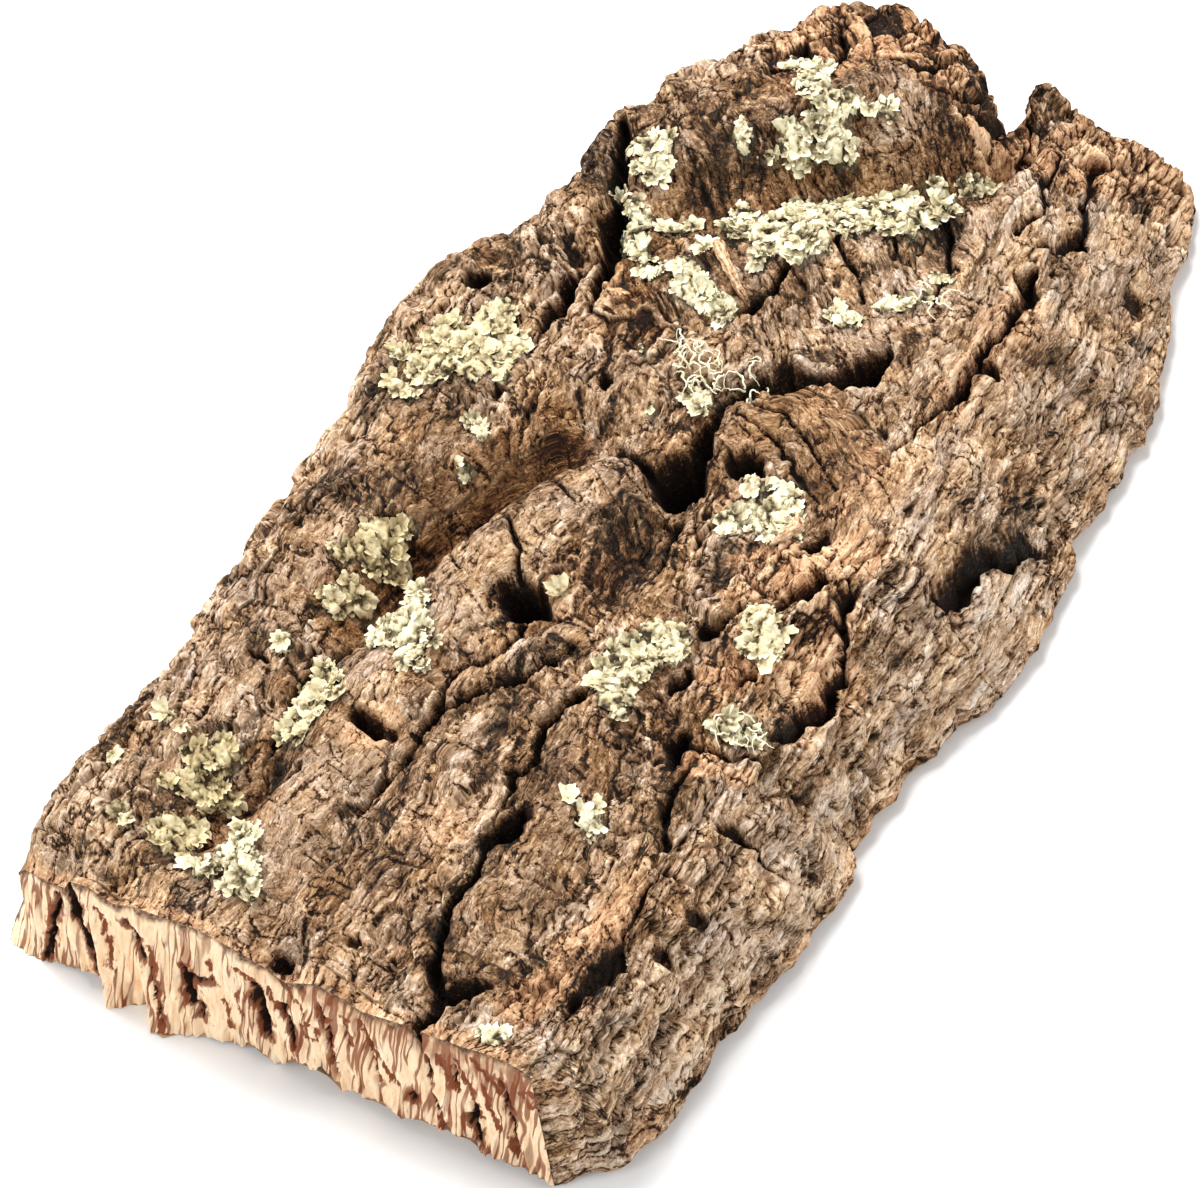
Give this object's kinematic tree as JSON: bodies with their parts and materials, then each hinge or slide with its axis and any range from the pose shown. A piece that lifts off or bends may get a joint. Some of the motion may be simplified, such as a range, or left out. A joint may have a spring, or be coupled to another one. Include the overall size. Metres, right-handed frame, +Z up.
{
  "type": "cork bark slab",
  "caption": "Thick slab of rough virgin cork bark with one sawn end and patches of leafy lichen on its outer face; lies flat as natural decor or a mounting base.",
  "frame": {"origin": "centre of the overall bounding box, on the ground the slab lies on", "axes": "+X along the slab from the sawn end to the broken end, +Y towards the steep left edge, +Z up through the outer face of the bark"},
  "size_m": [0.2945, 0.1831, 0.0572],
  "materials": {
    "cork_bark": "rough, cracked, dry",
    "lichen": "matt, leafy"
  },
  "bodies": {
    "root": {"bark_slab": "cork_bark", "lichen_front_shoulder": "lichen", "lichen_front_gully": "lichen", "lichen_front_tongue": "lichen", "lichen_ledge": "lichen", "lichen_gully_left": "lichen", "lichen_gully_right": "lichen", "lichen_tongue": "lichen", "lichen_wall_small": "lichen", "lichen_wall_slim": "lichen", "lichen_left_large": "lichen", "lichen_rim": "lichen", "lichen_black_gap": "lichen", "lichen_second_ridge": "lichen", "lichen_band_upper": "lichen", "lichen_band_lower": "lichen", "lichen_band_foot": "lichen", "lichen_crest": "lichen", "lichen_ridge_small": "lichen", "lichen_ridge_slim": "lichen", "lichen_bearded": "lichen", "lichen_curl": "lichen", "lichen_centre": "lichen", "lichen_low_leafy": "lichen", "lichen_low_bearded": "lichen", "lichen_third_tongue": "lichen", "lichen_sawn_end": "lichen"}
  },
  "joints": []
}
